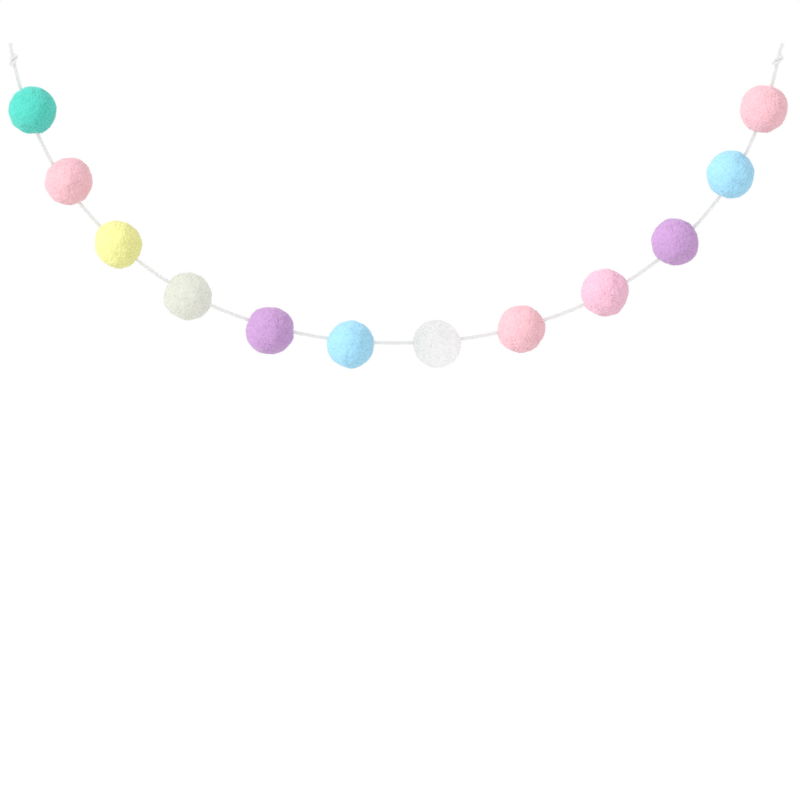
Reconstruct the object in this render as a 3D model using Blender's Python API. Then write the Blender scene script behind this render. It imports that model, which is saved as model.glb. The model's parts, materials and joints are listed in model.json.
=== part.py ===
"""Garland of twelve felt balls threaded on one string, hanging in a swag.

Metres, +Z up. The swag hangs in the XZ plane and is seen along +Y. The origin is midway
between the two held ends of the string. Every ball is bored where the string passes through it,
and the surface of its solid is the outer skin of its felt.
"""

import math
from collections import namedtuple

import bmesh
import bpy
from mathutils import Vector, noise

# Driving dimensions
BALL_DIAMETER = 0.030
STRING_DIAMETER = 0.0022
GAP = 0.0003

# Balls
BALL_CUTS = 8
LUMP_WIDTH = 0.0060
LUMP_HEIGHT = 0.0006
SWELL_WIDTH = 0.016
SWELL_HEIGHT = 0.0010
SEED_STEP = 10.0
HOLE_DIAMETER = STRING_DIAMETER + 0.0014
HOLE_SIDES = 12
CUTTER_LENGTH = BALL_DIAMETER * 1.5

# The string
STRING_POINTS = 80
STRING_BEVEL_RESOLUTION = 2
STEPS_BETWEEN_ROUTE_POINTS = 40

# Knots at the string's two ends
KNOT_LENGTH = 0.0080
KNOT_DIAMETER = 0.0066
KNOT_NECK_DIAMETER = 0.0028
KNOT_FULLNESS = 0.6
KNOT_RIDGES = 2
KNOT_RIDGE_HEIGHT = 0.0005
KNOT_TURNS = 0.75
TAIL_LENGTH = 0.0070
TAIL_END_DIAMETER = 0.0027
KNOT_SIDES = 16
KNOT_RINGS = 12

# Looks
CLOTH_ROUGHNESS = 0.95
SHARP_ANGLE = math.radians(50)

# X and Z of the points that the string passes, from its left end to its right end
STRING_ROUTE = (
    (-0.2405, 0.0000),
    (-0.2280, -0.0385),
    (-0.2090, -0.0735),
    (-0.1830, -0.1045),
    (-0.1520, -0.1305),
    (-0.1170, -0.1505),
    (-0.0790, -0.1640),
    (-0.0395, -0.1720),
    (0.0005, -0.1745),
    (0.0410, -0.1720),
    (0.0805, -0.1640),
    (0.1185, -0.1505),
    (0.1535, -0.1310),
    (0.1845, -0.1055),
    (0.2100, -0.0745),
    (0.2285, -0.0385),
    (0.2405, 0.0000),
)

# along: from the string's left end to the ball's middle, measured on the string
# outside: how far the ball's middle sits outside the string's curve, as it is threaded off centre
Ball = namedtuple("Ball", "name colour along outside")
BALLS = (
    Ball("ball_01", "turquoise", 0.0297, -0.0030),
    Ball("ball_02", "coral_pink", 0.0814, -0.0023),
    Ball("ball_03", "yellow", 0.1325, 0.0004),
    Ball("ball_04", "ivory", 0.1867, 0.0012),
    Ball("ball_05", "lilac", 0.2424, 0.0024),
    Ball("ball_06", "sky_blue", 0.2937, 0.0020),
    Ball("ball_07", "white", 0.3480, 0.0013),
    Ball("ball_08", "coral_pink", 0.4022, 0.0012),
    Ball("ball_09", "rose_pink", 0.4594, -0.0010),
    Ball("ball_10", "lilac", 0.5148, -0.0022),
    Ball("ball_11", "sky_blue", 0.5709, -0.0022),
    Ball("ball_12", "coral_pink", 0.6173, -0.0002),
)

COLOURS = {
    "turquoise": (0.10, 0.72, 0.58),
    "coral_pink": (0.90, 0.47, 0.53),
    "yellow": (0.90, 0.87, 0.42),
    "ivory": (0.80, 0.80, 0.70),
    "lilac": (0.60, 0.37, 0.72),
    "sky_blue": (0.42, 0.76, 0.92),
    "white": (0.86, 0.86, 0.86),
    "rose_pink": (0.90, 0.47, 0.64),
    "string": (0.80, 0.80, 0.79),
}


def clear_scene():
    for existing in list(bpy.data.objects):
        bpy.data.objects.remove(existing)


def cloth_material(name):
    material = bpy.data.materials.new(name)
    material.use_nodes = True
    shader = material.node_tree.nodes["Principled BSDF"]
    shader.inputs["Base Color"].default_value = (*COLOURS[name], 1.0)
    shader.inputs["Roughness"].default_value = CLOTH_ROUGHNESS
    shader.inputs["Metallic"].default_value = 0.0
    material.diffuse_color = (*COLOURS[name], 1.0)
    return material


def add_object(name, mesh, material):
    mesh.materials.append(material)
    piece = bpy.data.objects.new(name, mesh)
    bpy.context.scene.collection.objects.link(piece)
    return piece


def mesh_from(name, shape):
    """The finished mesh of a bmesh, smooth but for its sharp rims."""
    mesh = bpy.data.meshes.new(name)
    shape.to_mesh(mesh)
    shape.free()
    mesh.shade_smooth()
    mesh.set_sharp_from_angle(angle=SHARP_ANGLE)
    return mesh


def smooth_route():
    """Closely spaced points of the smooth curve through STRING_ROUTE, bent on past its ends."""
    stops = [Vector((x, 0.0, z)) for x, z in STRING_ROUTE]
    before = 3 * stops[0] - 3 * stops[1] + stops[2]
    after = 3 * stops[-1] - 3 * stops[-2] + stops[-3]
    stops = [before, *stops, after]
    points = []
    for a, b, c, d in zip(stops, stops[1:], stops[2:], stops[3:]):
        for step in range(STEPS_BETWEEN_ROUTE_POINTS):
            t = step / STEPS_BETWEEN_ROUTE_POINTS
            points.append(
                b
                + (c - a) * (t / 2)
                + (2 * a - 5 * b + 4 * c - d) * (t**2 / 2)
                + (3 * b - a - 3 * c + d) * (t**3 / 2)
            )
    points.append(stops[-2])
    return points


def place_on(curve, along):
    """The point of the curve at this distance from its start, and the curve's direction there."""
    for here, there in zip(curve, curve[1:]):
        step = (there - here).length
        if along <= step:
            break
        along -= step
    else:
        along = step
    direction = (there - here).normalized()
    return here + direction * along, direction


def length_of(curve):
    return sum((there - here).length for here, there in zip(curve, curve[1:]))


def skin_radius(outward, seed):
    """How far the felt reaches in this direction: nearly round, with soft swells and low lumps."""
    radius = BALL_DIAMETER / 2
    place = outward * radius
    swell = noise.noise(place / SWELL_WIDTH + Vector((seed, 0.0, 0.0)))
    lump = noise.noise(place / LUMP_WIDTH + Vector((0.0, seed, 0.0)))
    return radius + SWELL_HEIGHT * swell + LUMP_HEIGHT * lump


def ball_mesh(name, seed):
    """A cube's faces spread evenly over a ball and set out to the skin of the felt."""
    shape = bmesh.new()
    bmesh.ops.create_cube(shape, size=2.0)
    bmesh.ops.subdivide_edges(
        shape, edges=shape.edges[:], cuts=BALL_CUTS, use_grid_fill=True
    )
    for corner in shape.verts:
        even = [math.tan(part * math.pi / 4) for part in corner.co]
        outward = Vector(even).normalized()
        corner.co = outward * skin_radius(outward, seed)
    return mesh_from(name, shape)


def string_way(name, middle, direction):
    """A cutter along the string, longer than the ball is wide."""
    shape = bmesh.new()
    bmesh.ops.create_cone(
        shape,
        cap_ends=True,
        segments=HOLE_SIDES,
        radius1=HOLE_DIAMETER / 2,
        radius2=HOLE_DIAMETER / 2,
        depth=CUTTER_LENGTH,
    )
    cutter = bpy.data.objects.new(name, mesh_from(name, shape))
    bpy.context.scene.collection.objects.link(cutter)
    cutter.location = middle
    cutter.rotation_mode = "QUATERNION"
    cutter.rotation_quaternion = direction.to_track_quat("Z", "Y")
    cutter.hide_render = True
    cutter.display_type = "WIRE"
    return cutter


def add_ball(row, seed, curve, material):
    """One ball at its place on the string. Its hole follows the chord of the string's curve."""
    on_string, direction = place_on(curve, row.along)
    outside = Vector((direction.z, 0.0, -direction.x))
    ball = add_object(row.name, ball_mesh(row.name, seed), material)
    ball.location = on_string + outside * row.outside
    enters, _ = place_on(curve, row.along - BALL_DIAMETER / 2)
    leaves, _ = place_on(curve, row.along + BALL_DIAMETER / 2)
    hole_middle = (on_string + (enters + leaves) / 2) / 2
    cutter = string_way(row.name + "_string_way", hole_middle, leaves - enters)
    cut = ball.modifiers.new("string_way", "BOOLEAN")
    cut.operation = "DIFFERENCE"
    cut.solver = "EXACT"
    cut.object = cutter


def add_string(curve, material):
    """The string as one tube, read from its curve at even steps."""
    whole = length_of(curve)
    line = bpy.data.curves.new("string", "CURVE")
    line.dimensions = "3D"
    line.bevel_depth = STRING_DIAMETER / 2
    line.bevel_resolution = STRING_BEVEL_RESOLUTION
    line.use_fill_caps = True
    spline = line.splines.new("POLY")
    spline.points.add(STRING_POINTS - 1)
    for number, point in enumerate(spline.points):
        place, _ = place_on(curve, whole * number / (STRING_POINTS - 1))
        point.co = (*place, 1.0)
    add_object("string", line, material)


def knot_radius(share):
    """The knot's outline: a barrel that draws in to the neck at both ends."""
    neck = KNOT_NECK_DIAMETER / 2
    belly = KNOT_DIAMETER / 2 - KNOT_RIDGE_HEIGHT
    return neck + (belly - neck) * math.sin(math.pi * share) ** KNOT_FULLNESS


def add_knot(name, end, away, material):
    """An overhand knot drawn tight past the string's end, with the turns of the string as ridges
    that wind round it, and the short tail that is left over."""
    shape = bmesh.new()
    rings = []
    for ring in range(KNOT_RINGS + 1):
        share = ring / KNOT_RINGS
        ridge = KNOT_RIDGE_HEIGHT * math.sin(math.pi * share)
        radius = knot_radius(share)
        corners = []
        for side in range(KNOT_SIDES):
            turn = 2 * math.pi * side / KNOT_SIDES
            wound = KNOT_RIDGES * turn + 2 * math.pi * KNOT_TURNS * share
            reach = radius + ridge * math.sin(wound)
            corners.append(
                shape.verts.new(
                    (reach * math.cos(turn), reach * math.sin(turn), KNOT_LENGTH * share)
                )
            )
        rings.append(corners)
    tail_end = []
    for corner in rings[-1]:
        spread = TAIL_END_DIAMETER / KNOT_NECK_DIAMETER
        tail_end.append(
            shape.verts.new(
                (corner.co.x * spread, corner.co.y * spread, KNOT_LENGTH + TAIL_LENGTH)
            )
        )
    rings.append(tail_end)
    for lower, upper in zip(rings, rings[1:]):
        for side in range(KNOT_SIDES):
            after = (side + 1) % KNOT_SIDES
            shape.faces.new((lower[side], lower[after], upper[after], upper[side]))
    shape.faces.new(reversed(rings[0]))
    shape.faces.new(rings[-1])
    knot = add_object(name, mesh_from(name, shape), material)
    knot.location = end + away * GAP
    knot.rotation_mode = "QUATERNION"
    knot.rotation_quaternion = away.to_track_quat("Z", "Y")


def main():
    clear_scene()
    materials = {name: cloth_material(name) for name in COLOURS}
    curve = smooth_route()
    for number, row in enumerate(BALLS, start=1):
        add_ball(row, SEED_STEP * number, curve, materials[row.colour])
    add_string(curve, materials["string"])
    left_away = (curve[0] - curve[1]).normalized()
    right_away = (curve[-1] - curve[-2]).normalized()
    add_knot("string_knot_left", curve[0], left_away, materials["string"])
    add_knot("string_knot_right", curve[-1], right_away, materials["string"])


main()
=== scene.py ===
import json
import math
from collections import defaultdict, namedtuple

import bmesh
import bpy
import numpy as np
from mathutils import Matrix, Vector, noise

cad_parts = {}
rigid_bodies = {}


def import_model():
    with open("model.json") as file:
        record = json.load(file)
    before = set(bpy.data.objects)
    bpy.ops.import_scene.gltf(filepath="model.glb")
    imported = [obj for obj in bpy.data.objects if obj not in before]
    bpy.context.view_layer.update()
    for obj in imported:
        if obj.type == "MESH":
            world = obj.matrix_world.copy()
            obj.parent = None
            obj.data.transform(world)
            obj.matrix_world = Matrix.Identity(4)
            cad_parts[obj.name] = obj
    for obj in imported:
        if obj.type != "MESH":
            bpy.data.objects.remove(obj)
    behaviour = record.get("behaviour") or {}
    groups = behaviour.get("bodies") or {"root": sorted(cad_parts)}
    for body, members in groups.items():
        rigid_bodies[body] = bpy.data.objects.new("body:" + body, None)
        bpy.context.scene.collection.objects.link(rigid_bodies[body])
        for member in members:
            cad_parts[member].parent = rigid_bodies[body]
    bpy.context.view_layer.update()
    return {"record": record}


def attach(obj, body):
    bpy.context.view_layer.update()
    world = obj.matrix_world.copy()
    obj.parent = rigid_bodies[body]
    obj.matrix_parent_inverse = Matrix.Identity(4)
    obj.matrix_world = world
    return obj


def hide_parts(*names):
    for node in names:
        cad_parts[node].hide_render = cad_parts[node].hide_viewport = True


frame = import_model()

# Garland of twelve felt balls on one string, hanging in a swag: the finish of every piece.
# Metres, +Z up, in the frame of the solids. Colours are linear.

MM = 0.001

# The photograph's scale, its middle pixel, and the pixel where the part's origin lies
PHOTO_WIDTH = 800
MIDDLE_OF_PHOTO = 399.5
BALL_DIAMETER = 30 * MM
BALL_WIDTH_IN_PHOTO = 47.5
PIXEL = BALL_DIAMETER / BALL_WIDTH_IN_PHOTO
ORIGIN_IN_PHOTO = (395.2, 66.15)

# Camera, with the width of its sensor in millimetres
CAMERA_DISTANCE = 3.0
SENSOR_WIDTH = 36.0

# The string, and the X and Z of the points that it passes, as in the part's source
STRING_DIAMETER = 2.2 * MM
STRING_ROUTE = (
    (-0.2405, 0.0000),
    (-0.2280, -0.0385),
    (-0.2090, -0.0735),
    (-0.1830, -0.1045),
    (-0.1520, -0.1305),
    (-0.1170, -0.1505),
    (-0.0790, -0.1640),
    (-0.0395, -0.1720),
    (0.0005, -0.1745),
    (0.0410, -0.1720),
    (0.0805, -0.1640),
    (0.1185, -0.1505),
    (0.1535, -0.1310),
    (0.1845, -0.1055),
    (0.2100, -0.0745),
    (0.2285, -0.0385),
    (0.2405, 0.0000),
)
STEPS_BETWEEN_ROUTE_POINTS = 60
STRING_STEP = 0.4 * MM

# The string's twisted plies, with their swell and grooves as shares of its radius
PLIES = 4
PLY_PITCH = 6.4 * MM
PLY_SWELL = 0.047
PLY_GROOVE = 0.13
STRING_SIDES = 20
STRING_SUBSURFACE = 0.5
STRING_SUBSURFACE_REACH = 0.8 * MM

# The overhand knot at each end of the string, with its lengths in string diameters
LOOP_REACH = 2.05
LOOP_POINTS = 400
LOOP_WIDTH = 0.9
LOOP_DEPTH = 0.5
LOOP_HEIGHT = 0.3
LOOSE_LEAD = 8.0
KNOT_LEAD = 1.95
LEAD_IN_STRING = 1.05
KNOT_SPARE = 10.1
KNOT_STEP = 0.24
KNOT_STEP_PARTS = 3
TOUCH_APART = 1.75
TAIL_LENGTH = 3.0
TAIL_BEND = 0.03
TAIL_POINTS = 12
FRAY_LENGTH = 1.3
FRAY_SPREAD = 0.22
FRAY_GROOVE = 0.16

# How the knot is drawn tight: the share of each move that is made, and the rounds of them
BEND_EASING = 0.12
TOUCH_PUSH = 0.18
DRAWING_ROUNDS = 1800
RESTING_ROUNDS = 1200
EVENING_ROUNDS = 2

# The skin of a ball, as in the part's source
LUMP_WIDTH = 6.0 * MM
LUMP_HEIGHT = 0.6 * MM
SWELL_WIDTH = 16 * MM
SWELL_HEIGHT = 1.0 * MM
SEED_STEP = 10.0

# Matted ridges and pits of the felt, with a seed that keeps them alike in every run
NOISE_SEED = 1
FELT_CUTS = 45
SKIN_SINK = 0.1 * MM
WARP_WIDTH = 2.2 * MM
WARP = 0.9
RIDGE_WIDTH = 1.45 * MM
RIDGE_HEIGHT = 0.46 * MM
RIDGE_MEAN = 0.7
PIT_WIDTH = 1.1 * MM
PIT_HEIGHT = 0.12 * MM
DIMPLE_DEPTH = 0.5 * MM
DIMPLE_WIDTH = 1.7 * MM
PLACES_AT_ONCE = 1000

# Loose fibres on each ball, with some to spare for those that would touch the string
FIBRES = 1500
SPARE_FIBRES = FIBRES // 8
FIBRE_SEGMENTS = 5
FIBRE_SIDES = 3
FIBRE_WIDTH = 0.07 * MM
THINNEST_FIBRE = 0.7
THICKEST_FIBRE = 1.3
FIBRE_TIP = 0.45
FIBRE_STEP = 0.45 * MM
FIBRE_ROOT = -0.06 * MM
LYING_SHARE = 0.5
LYING_LOFT = 0.16 * MM
STANDING_LOFT = 0.5 * MM
STANDING_BEND = 1.3
MOST_LOFT = 1.4 * MM
CRIMP = 0.7
CRIMP_STEP = 1.5
CURL = 0.25
STRING_CLEARANCE = 0.15 * MM
FIRST_SEED = 100

# The flat maps that patterns are baked through
BAKE_MAP = "OFBake"
MAP_FILL = 0.94

# Colour of each slot
COLOURS = {
    "turquoise": (0.092, 0.597, 0.499),
    "coral_pink": (0.818, 0.472, 0.523),
    "yellow": (0.788, 0.776, 0.310),
    "ivory": (0.741, 0.754, 0.666),
    "lilac": (0.515, 0.301, 0.568),
    "sky_blue": (0.342, 0.654, 0.836),
    "white": (0.920, 0.919, 0.918),
    "rose_pink": (0.818, 0.475, 0.596),
    "string": (0.872, 0.872, 0.867),
}

# Finish of the felt: how fine fibres cross it, and how much they tell in its tone
CROSSING_RIDGE = 0.12
CROSSING_IN_TONE = 2.0

# Light: the sky lights every piece alike, and two suns in one place leave out the palest
# slots, which look evenly lit because so much light passes about inside them
WHITE = (1.0, 1.0, 1.0, 1.0)
WORLD_STRENGTH = 1.0
Sun = namedtuple("Sun", "name strength leaves_out")
SUNS = (
    Sun("sun", 0.75, ("white", "string")),
    Sun("sun_on_colours", 0.98, ("ivory", "white", "string")),
)
SUN_ANGLE = math.radians(12)
SUN_FROM = (-0.76, -0.56, 0.33)

# Floor
FLOOR_HEIGHT = -0.75
FLOOR_SIZE = 60.0
FLOOR_COLOUR = (0.86, 0.86, 0.86, 1.0)

# The scene's pieces that take each slot
pieces_by_slot = defaultdict(list)


def unit(vectors):
    return vectors / np.linalg.norm(vectors, axis=-1, keepdims=True)


def set_camera():
    camera = bpy.data.objects.new("camera", bpy.data.cameras.new("camera"))
    bpy.context.scene.collection.objects.link(camera)
    x = (MIDDLE_OF_PHOTO - ORIGIN_IN_PHOTO[0]) * PIXEL
    z = (ORIGIN_IN_PHOTO[1] - MIDDLE_OF_PHOTO) * PIXEL
    camera.location = (x, -CAMERA_DISTANCE, z)
    camera.rotation_euler = (math.pi / 2, 0.0, 0.0)
    camera.data.sensor_width = SENSOR_WIDTH
    camera.data.lens = SENSOR_WIDTH * CAMERA_DISTANCE / (PHOTO_WIDTH * PIXEL)
    bpy.context.scene.camera = camera


def add_object(name, mesh, material):
    mesh.shade_smooth()
    mesh.materials.append(material)
    piece = bpy.data.objects.new(name, mesh)
    bpy.context.scene.collection.objects.link(piece)
    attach(piece, "root")
    return piece


def take_slot(piece, slot):
    """Lists the piece under its slot for the lights."""
    pieces_by_slot[slot].append(piece)


def smooth_curve(stops, steps):
    """Points of the smooth curve through the stops, at this many steps between each two."""
    before = 3 * stops[0] - 3 * stops[1] + stops[2]
    after = 3 * stops[-1] - 3 * stops[-2] + stops[-3]
    stops = np.vstack([before, stops, after])
    t = np.linspace(0.0, 1.0, steps, endpoint=False)[:, None]
    stretches = []
    for a, b, c, d in zip(stops, stops[1:], stops[2:], stops[3:]):
        bend = 2 * a - 5 * b + 4 * c - d
        twist = 3 * b - a - 3 * c + d
        stretches.append(b + (c - a) * t / 2 + bend * t**2 / 2 + twist * t**3 / 2)
    return np.vstack([*stretches, stops[-2:-1]])


def lengths_along(points):
    steps = np.linalg.norm(np.diff(points, axis=0), axis=1)
    return np.concatenate([[0.0], np.cumsum(steps)])


def even_steps(points, step):
    """The same curve at even steps, as near to the wished step as its length allows."""
    along = lengths_along(points)
    stations = np.linspace(0.0, along[-1], round(along[-1] / step) + 1)
    return np.stack([np.interp(stations, along, points[:, axis]) for axis in range(3)], 1)


def loose_knot():
    """A wide overhand knot round the Z axis with two long ends, in string diameters. Its loops
    follow the polynomial curve of a trefoil."""
    t = np.linspace(-LOOP_REACH, LOOP_REACH, LOOP_POINTS)
    across = LOOP_WIDTH * (t**3 - 3 * t)
    deep = LOOP_DEPTH * (t**4 - 4 * t**2 + 2)
    high = LOOP_HEIGHT * (t**5 - 10 * t)
    loops = np.stack([across, deep, high], 1)
    return np.vstack([[0.0, 0.0, -LOOSE_LEAD], loops, [0.0, 0.0, LOOSE_LEAD]])


def part_touching(points, first, second):
    """Moves points apart whose stretches of string press into each other, which is where they
    are less than one string diameter from each other."""
    apart = points[first] - points[second]
    gap = np.linalg.norm(apart, axis=1)
    close = gap < 1.0
    push = apart[close] * (TOUCH_PUSH * (1 / gap[close] - 1))[:, None]
    np.add.at(points, first[close], push)
    np.add.at(points, second[close], -push)


def keep_length(points, step):
    """Brings neighbouring points back to one step from each other, every other pair at a time."""
    for odd in (0, 1) * EVENING_ROUNDS:
        here = np.arange(odd, len(points) - 1, 2)
        edge = points[here + 1] - points[here]
        move = edge * (1 - step / np.linalg.norm(edge, axis=1, keepdims=True)) / 2
        points[here] += move
        points[here + 1] -= move


def tight_knot():
    """The middle line of an overhand knot drawn tight round the Z axis, in string diameters."""
    points = loose_knot()
    loose = lengths_along(points)[-1]
    tight = 2 * KNOT_LEAD + KNOT_SPARE
    points = even_steps(points, KNOT_STEP * loose / tight)
    order = np.arange(len(points))
    first, second = np.nonzero(order[:, None] + TOUCH_APART / KNOT_STEP < order)
    drawing = np.linspace(0.0, 1.0, DRAWING_ROUNDS)
    for drawn in np.concatenate([drawing, np.ones(RESTING_ROUNDS)]):
        step = (loose + (tight - loose) * drawn) / (len(points) - 1)
        end = LOOSE_LEAD + (KNOT_LEAD - LOOSE_LEAD) * drawn
        points[1:-1] += BEND_EASING * ((points[:-2] + points[2:]) / 2 - points[1:-1])
        part_touching(points, first, second)
        keep_length(points, step)
        points[:2] = (0.0, 0.0, -end), (0.0, 0.0, step - end)
        points[-2:] = (0.0, 0.0, end - step), (0.0, 0.0, end)
    return points


def knot_line():
    """The knot and its tail, from the string's end up under the loops, in string diameters."""
    past = np.linspace(0.0, TAIL_LENGTH, TAIL_POINTS + 1)[1:]
    tail = np.stack([TAIL_BEND * past**2, 0 * past, KNOT_LEAD + past], 1)
    line = smooth_curve(np.vstack([tight_knot(), tail]), KNOT_STEP_PARTS)
    line = line[lengths_along(line) > LEAD_IN_STRING]
    return line - line[0]


def string_path():
    """The string's middle line, going straight on under the loops of the knot at each end."""
    route = np.array([(x, 0.0, z) for x, z in STRING_ROUTE])
    route = smooth_curve(route, STEPS_BETWEEN_ROUTE_POINTS)
    lead = LEAD_IN_STRING * STRING_DIAMETER
    first = route[0] + unit(route[0] - route[1]) * lead
    last = route[-1] + unit(route[-1] - route[-2]) * lead
    return even_steps(np.vstack([first, route, last]), STRING_STEP)


def knot_path(line, end, away):
    """The knot's line in place, going on from the string's end."""
    back = np.array([0.0, 1.0, 0.0])
    axes = np.stack([np.cross(back, away), back, away])
    return end + STRING_DIAMETER * line @ axes


def carried_frames(path):
    """Two directions across the path at each of its points, which don't turn about it."""
    forward = unit(np.gradient(path, axis=0))
    up = np.cross(forward[0], [0.0, 1.0, 0.0])
    ups = []
    for way in forward:
        up = unit(up - way * (up @ way))
        ups.append(up)
    return np.array(ups), np.cross(forward, ups)


def plied_tube(name, path, material, phase=0.0, fray=0.0):
    """A tube of twisted plies round the path, closed at both ends. The phase turns the plies,
    and fray is how far each ring of them has come loose."""
    up, side = carried_frames(path)
    fray = np.broadcast_to(fray, len(path))[:, None]
    round_ring = np.linspace(0.0, 2 * math.pi, STRING_SIDES, endpoint=False)
    groove = (PLY_GROOVE + FRAY_GROOVE * fray) * (1 - np.abs(np.sin(PLIES * round_ring / 2)))
    reach = STRING_DIAMETER / 2 * (1 + PLY_SWELL + FRAY_SPREAD * fray - groove)
    turn = phase + round_ring + 2 * math.pi * lengths_along(path)[:, None] / PLY_PITCH
    rings = (
        path[:, None, :]
        + (reach * np.cos(turn))[..., None] * up[:, None, :]
        + (reach * np.sin(turn))[..., None] * side[:, None, :]
    )
    corner = np.arange(STRING_SIDES)
    after = (corner + 1) % STRING_SIDES
    band = np.stack([corner, after, after + STRING_SIDES, corner + STRING_SIDES], 1)
    starts = STRING_SIDES * np.arange(len(path) - 1)
    faces = (starts[:, None, None] + band).reshape(-1, 4).tolist()
    faces.append(corner[::-1].tolist())
    faces.append((starts[-1] + STRING_SIDES + corner).tolist())
    mesh = bpy.data.meshes.new(name)
    mesh.from_pydata(rings.reshape(-1, 3).tolist(), [], faces)
    # The relief share, lowest in the grooves, feeds the string's painted groove shade.
    relief = mesh.attributes.new("relief", "FLOAT", "POINT")
    share = np.broadcast_to(np.abs(np.sin(PLIES * round_ring / 2)), turn.shape)
    relief.data.foreach_set("value", share.astype(np.float32).ravel())
    return add_object(name, mesh, material)


def skin_radius(outward, seed):
    """How far the felt reaches in this direction: nearly round, with soft swells and low lumps."""
    radius = BALL_DIAMETER / 2
    place = outward * radius
    swell = noise.noise(place / SWELL_WIDTH + Vector((seed, 0.0, 0.0)))
    lump = noise.noise(place / LUMP_WIDTH + Vector((0.0, seed, 0.0)))
    return radius + SWELL_HEIGHT * swell + LUMP_HEIGHT * lump


def relief_height(outward, seed):
    """Matted ridges that wander, with small pits between them."""
    place = outward * (BALL_DIAMETER / 2)
    shift = Vector((0.0, 0.0, seed))
    warp = noise.noise_vector(place / WARP_WIDTH + shift) * WARP
    ridge = 1 - 2 * abs(noise.noise(place / RIDGE_WIDTH + warp + shift))
    pit = noise.noise(place / PIT_WIDTH + warp - shift)
    return RIDGE_HEIGHT * (ridge - RIDGE_MEAN) + PIT_HEIGHT * pit


def felt_surface(outward, seed):
    """For each direction, how far the felt reaches there and how high its relief stands."""
    ways = [Vector(way) for way in outward.tolist()]
    heights = np.array([relief_height(way, seed) for way in ways])
    skins = np.array([skin_radius(way, seed) for way in ways])
    return skins - SKIN_SINK + heights, heights


def ball_grid():
    """A cube's faces cut evenly, with its sides laid out flat in the bake map, three across and
    two up."""
    shape = bmesh.new()
    bmesh.ops.create_cube(shape, size=2.0)
    bmesh.ops.subdivide_edges(
        shape, edges=shape.edges[:], cuts=FELT_CUTS, use_grid_fill=True
    )
    flat = shape.loops.layers.uv.new(BAKE_MAP)
    for face in shape.faces:
        axis = max(range(3), key=lambda i: abs(face.normal[i]))
        front = face.normal[axis] > 0
        turned = -1 if front == (axis == 1) else 1
        for loop in face.loops:
            across, along = (loop.vert.co[i] * MAP_FILL / 2 for i in range(3) if i != axis)
            loop[flat].uv = ((axis + 0.5 + turned * across) / 3, (front + 0.5 + along) / 2)
    mesh = bpy.data.meshes.new("ball_grid")
    shape.to_mesh(mesh)
    shape.free()
    return mesh


def ball_middle(node):
    """The middle of the ball that fits the solid's corners best."""
    corners = mesh_places(bpy.data.objects[node].data)
    rows = np.column_stack([2 * corners, np.ones(len(corners))])
    fit, *_ = np.linalg.lstsq(rows, (corners**2).sum(1), rcond=None)
    return fit[:3]


def mesh_places(mesh):
    places = np.empty(3 * len(mesh.vertices), np.float32)
    mesh.vertices.foreach_get("co", places)
    return places.reshape(-1, 3).astype(float)


def distance_to(path, places):
    """How far each place is from the nearest point of the path."""
    batches = np.array_split(places, 1 + len(places) // PLACES_AT_ONCE)
    apart = [np.linalg.norm(batch[:, None] - path[None], axis=2).min(1) for batch in batches]
    return np.concatenate(apart)


def felt_ball(number, node, slot, grid, material, path):
    """A ball of matted felt, drawn in a little where the string enters it."""
    centre = ball_middle(node)
    mesh = grid.copy()
    mesh.name = f"felt_{number:02d}"
    outward = unit(np.tan(mesh_places(mesh) * math.pi / 4))
    radii, heights = felt_surface(outward, SEED_STEP * number)
    near = path[np.linalg.norm(path - centre, axis=1) < BALL_DIAMETER] - centre
    apart = distance_to(near, outward * radii[:, None])
    radii -= DIMPLE_DEPTH * np.exp(-((apart / DIMPLE_WIDTH) ** 2))
    places = centre + outward * radii[:, None]
    mesh.vertices.foreach_set("co", places.astype(np.float32).ravel())
    # The relief share also feeds the felt's painted shade, which darkens the pits.
    relief = mesh.attributes.new("relief", "FLOAT", "POINT")
    share = heights / (RIDGE_HEIGHT + PIT_HEIGHT) + 0.5
    relief.data.foreach_set("value", share.astype(np.float32))
    piece = add_object(mesh.name, mesh, material)
    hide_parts(node)
    take_slot(piece, slot)
    return centre


def fibre_ways(generator, count):
    """Directions that crimped fibres pass through as they wander over a ball."""
    outward = unit(generator.normal(size=(count, 3)))
    heading = unit(np.cross(outward, generator.normal(size=(count, 3))))
    curl = generator.normal(0.0, CURL, (count, 1))
    phase = generator.uniform(0.0, 2 * math.pi, (count, 1))
    ways = [outward]
    for step in range(FIBRE_SEGMENTS):
        turn = curl + CRIMP * np.sin(phase + CRIMP_STEP * step)
        heading = heading * np.cos(turn) + np.cross(outward, heading) * np.sin(turn)
        outward = unit(outward + heading * FIBRE_STEP / (BALL_DIAMETER / 2))
        heading = unit(heading - outward * (heading * outward).sum(1, keepdims=True))
        ways.append(outward)
    return np.stack(ways, 1)


def fibre_rises(generator, count):
    """Height of each point of each fibre over the felt: arches, and free ends that stand up."""
    share = np.linspace(0.0, 1.0, FIBRE_SEGMENTS + 1)
    lying = generator.uniform(size=(count, 1)) < LYING_SHARE
    low = generator.exponential(LYING_LOFT, (count, 1)) * np.sin(math.pi * share)
    high = generator.exponential(STANDING_LOFT, (count, 1)) * share**STANDING_BEND
    return FIBRE_ROOT + np.minimum(np.where(lying, low, high), MOST_LOFT)


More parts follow.
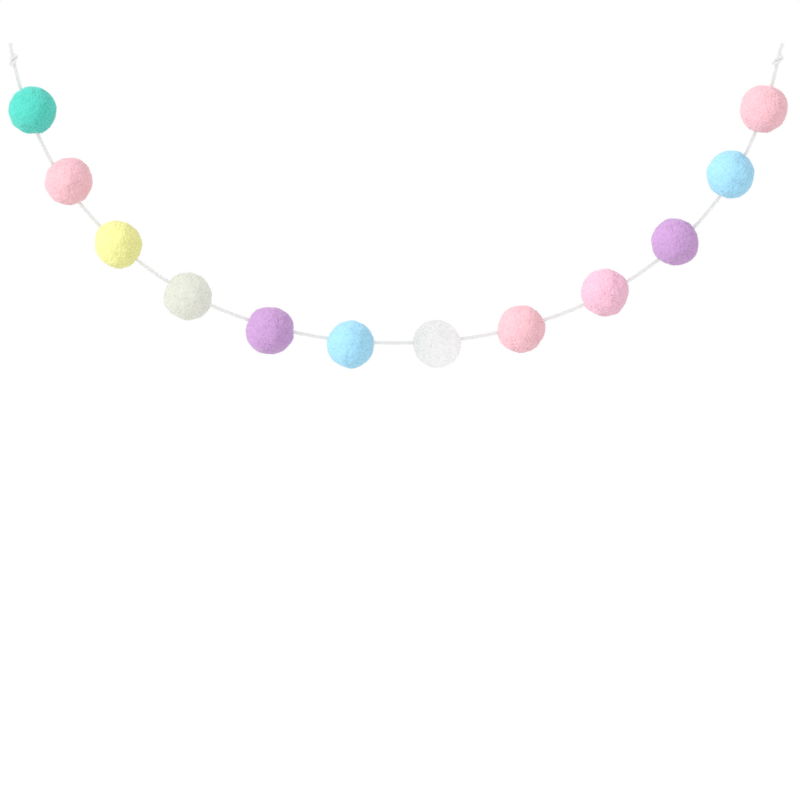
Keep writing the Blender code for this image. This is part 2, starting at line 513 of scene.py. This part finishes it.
def fuzz_mesh():
    """The faces of all fibres of one ball, each fibre in its own cell of the bake map."""
    faces, corners = [], []
    for ring in range(FIBRE_SEGMENTS):
        for side in range(FIBRE_SIDES):
            after = (side + 1) % FIBRE_SIDES
            here, there = ring * FIBRE_SIDES, (ring + 1) * FIBRE_SIDES
            faces.append((here + side, here + after, there + after, there + side))
            corners += [(side, ring), (side + 1, ring), (side + 1, ring + 1), (side, ring + 1)]
    last = FIBRE_SEGMENTS * FIBRE_SIDES
    faces.append((2, 1, 0))
    corners += [(0, 0), (FIBRE_SIDES, 0), (0, -1)]
    faces.append((last, last + 1, last + 2))
    corners += [(0, FIBRE_SEGMENTS), (FIBRE_SIDES, FIBRE_SEGMENTS), (0, FIBRE_SEGMENTS + 1)]
    starts = (last + FIBRE_SIDES) * np.arange(FIBRES)
    mesh = bpy.data.meshes.new("fuzz")
    mesh.from_pydata(
        [(0.0, 0.0, 0.0)] * ((last + FIBRE_SIDES) * FIBRES),
        [],
        [[start + corner for corner in face] for start in starts.tolist() for face in faces],
    )
    columns = math.ceil(math.sqrt(FIBRES))
    cells = np.stack([np.arange(FIBRES) % columns, np.arange(FIBRES) // columns], 1)
    inside = (np.array(corners) + [0, 1]) / [FIBRE_SIDES, FIBRE_SEGMENTS + 2]
    inside = (1 - MAP_FILL) / 2 + MAP_FILL * inside
    spots = (cells[:, None] + inside[None]) / columns
    layer = mesh.uv_layers.new(name=BAKE_MAP)
    layer.data.foreach_set("uv", spots.astype(np.float32).ravel())
    return mesh


def fuzz(number, centre, slot, template, material, path):
    """Loose fibres that lie on a ball's felt or stand up from it, clear of the string. They are
    too fine to shade the felt, so they cast no shadow."""
    generator = np.random.default_rng(FIRST_SEED + number)
    tries = FIBRES + SPARE_FIBRES
    ways = fibre_ways(generator, tries)
    rises = fibre_rises(generator, tries)
    near = path[np.linalg.norm(path - centre, axis=1) < BALL_DIAMETER] - centre
    apart = distance_to(near, (ways * BALL_DIAMETER / 2).reshape(-1, 3)).reshape(tries, -1)
    clear = apart.min(1) > STRING_DIAMETER / 2 + STRING_CLEARANCE
    ways, rises = ways[clear][:FIBRES], rises[clear][:FIBRES]
    radii, _ = felt_surface(ways.reshape(-1, 3), SEED_STEP * number)
    points = ways * (radii.reshape(rises.shape) + rises)[..., None]
    forward = unit(np.gradient(points, axis=1))
    side = unit(np.cross(forward, ways))
    up = np.cross(side, forward)
    width = FIBRE_WIDTH / 2 * np.linspace(1.0, FIBRE_TIP, FIBRE_SEGMENTS + 1)
    width = width * generator.uniform(THINNEST_FIBRE, THICKEST_FIBRE, (FIBRES, 1))
    turn = 2 * math.pi * np.arange(FIBRE_SIDES) / FIBRE_SIDES
    rings = (
        points[:, :, None, :]
        + (width[..., None] * np.sin(turn))[..., None] * side[:, :, None, :]
        + (width[..., None] * np.cos(turn))[..., None] * up[:, :, None, :]
    )
    mesh = template.copy()
    mesh.name = f"fuzz_{number:02d}"
    mesh.vertices.foreach_set("co", (centre + rings).astype(np.float32).ravel())
    piece = add_object(mesh.name, mesh, material)
    piece.visible_shadow = False
    piece.visible_diffuse = False
    take_slot(piece, slot)


def set_inputs(node, inputs):
    """Sets the inputs of a shader node, whose names are written with _ for each space."""
    for key, value in inputs.items():
        node.inputs[key.replace("_", " ")].default_value = value


def add_node(tree, kind, settings=None, **inputs):
    """A shader node with its settings and the values of its inputs."""
    added = tree.nodes.new(kind)
    for key, value in (settings or {}).items():
        setattr(added, key, value)
    set_inputs(added, inputs)
    return added


def add_ramp(tree, low, low_colour, high, high_colour):
    """A ramp from one colour, at its low place, to another at its high place."""
    added = add_node(tree, "ShaderNodeValToRGB")
    first, last = added.color_ramp.elements
    first.position = low
    first.color = low_colour
    last.position = high
    last.color = high_colour
    return added


def add_material(name, **inputs):
    """A material, its node tree and its shader with the values of the shader's inputs."""
    material = bpy.data.materials.new(name)
    material.use_nodes = True
    shader = material.node_tree.nodes["Principled BSDF"]
    set_inputs(shader, inputs)
    return material, material.node_tree, shader


def tinted(colour, factor, power=1.0):
    """The colour made lighter or darker by the factor, and fuller by a power over one or paler
    by a power under one."""
    return (*[min(1.0, factor * part**power) for part in colour], 1.0)


def felt_material(slot):
    """Matted wool with painted shade that makes its pits darker and fuller, crossed by fine
    fibres, with a soft sheen.
    """
    colour = COLOURS[slot]
    material, tree, shader = add_material(
        "felt_" + slot,
        Roughness=0.95,
        Specular_IOR_Level=0.15,
        Sheen_Weight=0.45,
        Sheen_Roughness=0.55,
        Sheen_Tint=tinted(colour, 1.0, 0.3),
    )
    link = tree.links.new
    where = add_node(tree, "ShaderNodeTexCoord")
    relief = add_node(tree, "ShaderNodeAttribute", {"attribute_name": "relief"})
    fibres = add_node(tree, "ShaderNodeTexNoise", Scale=1500.0, Detail=2.0, Distortion=2.2)
    link(where.outputs["Object"], fibres.inputs["Vector"])
    mottle = add_node(tree, "ShaderNodeTexNoise", Scale=160.0, Detail=3.0)
    link(where.outputs["Object"], mottle.inputs["Vector"])
    ridge = add_node(tree, "ShaderNodeMath", {"operation": "PINGPONG"})
    ridge.inputs[1].default_value = CROSSING_RIDGE
    link(fibres.outputs["Fac"], ridge.inputs[0])
    tone = add_node(tree, "ShaderNodeMath", {"operation": "MULTIPLY_ADD"})
    tone.inputs[1].default_value = CROSSING_IN_TONE
    link(ridge.outputs["Value"], tone.inputs[0])
    link(relief.outputs["Fac"], tone.inputs[2])
    # Painted shade: the low end of the ramp makes the pits a little darker and fuller, while the
    # crossing fibres vary the tone at random.
    shade = add_ramp(tree, 0.15, tinted(colour, 0.99, 1.05), 0.85, tinted(colour, 1.0))
    link(tone.outputs["Value"], shade.inputs["Fac"])
    cloud = add_node(
        tree, "ShaderNodeMapRange", From_Min=0.3, From_Max=0.7, To_Min=0.98, To_Max=1.02
    )
    link(mottle.outputs["Fac"], cloud.inputs["Value"])
    mixed = add_node(tree, "ShaderNodeVectorMath", {"operation": "SCALE"})
    link(shade.outputs["Color"], mixed.inputs[0])
    link(cloud.outputs["Result"], mixed.inputs["Scale"])
    link(mixed.outputs["Vector"], shader.inputs["Base Color"])
    bump = add_node(tree, "ShaderNodeBump", Strength=1.0, Distance=0.06 * MM)
    link(ridge.outputs["Value"], bump.inputs["Height"])
    link(bump.outputs["Normal"], shader.inputs["Normal"])
    return material


def fibre_material(slot):
    """Single wool fibres, a little paler than the felt and uneven along their length."""
    colour = COLOURS[slot]
    material, tree, shader = add_material(
        "fibre_" + slot, Roughness=0.8, Specular_IOR_Level=0.2
    )
    where = add_node(tree, "ShaderNodeTexCoord")
    uneven = add_node(tree, "ShaderNodeTexNoise", Scale=600.0, Detail=2.0)
    tree.links.new(where.outputs["Object"], uneven.inputs["Vector"])
    shade = add_ramp(tree, 0.35, tinted(colour, 0.98, 0.92), 0.65, tinted(colour, 1.04, 0.86))
    tree.links.new(uneven.outputs["Fac"], shade.inputs["Fac"])
    tree.links.new(shade.outputs["Color"], shader.inputs["Base Color"])
    return material


def string_material():
    """Cotton that light soaks into, with painted shade that makes it darker in the grooves between
    its plies.
    """
    colour = COLOURS["string"]
    material, tree, shader = add_material(
        "string",
        Roughness=0.85,
        Specular_IOR_Level=0.2,
        Subsurface_Weight=STRING_SUBSURFACE,
        Subsurface_Radius=(1.0, 1.0, 1.0),
        Subsurface_Scale=STRING_SUBSURFACE_REACH,
    )
    where = add_node(tree, "ShaderNodeTexCoord")
    relief = add_node(tree, "ShaderNodeAttribute", {"attribute_name": "relief"})
    uneven = add_node(tree, "ShaderNodeTexNoise", Scale=2600.0, Detail=3.0)
    tree.links.new(where.outputs["Object"], uneven.inputs["Vector"])
    tone = add_node(tree, "ShaderNodeMath", {"operation": "MULTIPLY"})
    tree.links.new(relief.outputs["Fac"], tone.inputs[0])
    tree.links.new(uneven.outputs["Fac"], tone.inputs[1])
    # Painted shade: the grooves between the plies, where the relief share is low, are darker,
    # while the noise varies the tone at random.
    shade = add_ramp(tree, 0.0, tinted(colour, 0.93), 0.6, tinted(colour, 1.03))
    tree.links.new(tone.outputs["Value"], shade.inputs["Fac"])
    tree.links.new(shade.outputs["Color"], shader.inputs["Base Color"])
    bump = add_node(tree, "ShaderNodeBump", Strength=0.6, Distance=0.1 * MM)
    tree.links.new(uneven.outputs["Fac"], bump.inputs["Height"])
    tree.links.new(bump.outputs["Normal"], shader.inputs["Normal"])
    return material


def add_knot(node, line, end, before, phase, material):
    """An overhand knot drawn tight past the string's end, with its plies a little loose at the
    end of the tail."""
    path = knot_path(line, end, unit(end - before))
    left = (lengths_along(path)[-1] - lengths_along(path)) / STRING_DIAMETER
    fray = np.clip(1 - left / FRAY_LENGTH, 0.0, 1.0) ** 2
    knot = plied_tube(node.replace("string_knot", "knot_yarn"), path, material, phase, fray)
    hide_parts(node)
    take_slot(knot, "string")
    return knot


def add_string(path, material):
    """The string and its two knots, with the plies of each knot turned so that they go on from
    the string's own."""
    string = plied_tube("string_yarn", path, material)
    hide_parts("string")
    take_slot(string, "string")
    line = knot_line()
    turned = 2 * math.pi * lengths_along(path)[-1] / PLY_PITCH
    knots = [
        add_knot("string_knot_left", line, path[0], path[1], math.pi, material),
        add_knot("string_knot_right", line, path[-1], path[-2], turned, material),
    ]


def leave_out(light, slots):
    """Keeps the light off the pieces that have these slots."""
    unlit = bpy.data.collections.new("not_lit_by_" + light.name)
    light.light_linking.receiver_collection = unlit
    for slot in slots:
        for piece in pieces_by_slot[slot]:
            unlit.objects.link(piece)
    for entry in unlit.collection_objects:
        entry.light_linking.link_state = "EXCLUDE"


def add_sun(row):
    light = bpy.data.lights.new(row.name, "SUN")
    light.energy = row.strength
    light.angle = SUN_ANGLE
    sun = bpy.data.objects.new(row.name, light)
    sun.rotation_euler = Vector(SUN_FROM).to_track_quat("Z", "Y").to_euler()
    bpy.context.scene.collection.objects.link(sun)
    leave_out(sun, row.leaves_out)


def set_light():
    world = bpy.data.worlds.new("world")
    bpy.context.scene.world = world
    world.use_nodes = True
    background = world.node_tree.nodes["Background"]
    set_inputs(background, {"Color": WHITE, "Strength": WORLD_STRENGTH})
    for row in SUNS:
        add_sun(row)
    bpy.context.scene.view_settings.view_transform = "Standard"


def add_floor():
    bpy.ops.mesh.primitive_plane_add(size=FLOOR_SIZE, location=(0.0, 0.0, FLOOR_HEIGHT))
    floor = bpy.context.object
    floor.name = "floor"
    material, _, _ = add_material("floor", Base_Color=FLOOR_COLOUR, Roughness=1.0)
    floor.data.materials.append(material)


def add_balls(path):
    slots = {row["node"]: row["material_slot"] for row in frame["record"]["subparts"]}
    nodes = sorted(node for node in slots if node.startswith("ball_"))
    colours = sorted({slots[node] for node in nodes})
    felt = {slot: felt_material(slot) for slot in colours}
    fibres = {slot: fibre_material(slot) for slot in colours}
    noise.seed_set(NOISE_SEED)
    grid = ball_grid()
    template = fuzz_mesh()
    for number, node in enumerate(nodes, start=1):
        slot = slots[node]
        centre = felt_ball(number, node, slot, grid, felt[slot], path)
        fuzz(number, centre, slot, template, fibres[slot], path)
    bpy.data.meshes.remove(grid)
    bpy.data.meshes.remove(template)


def main():
    set_camera()
    path = string_path()
    add_string(path, string_material())
    add_balls(path)
    set_light()
    add_floor()


main()
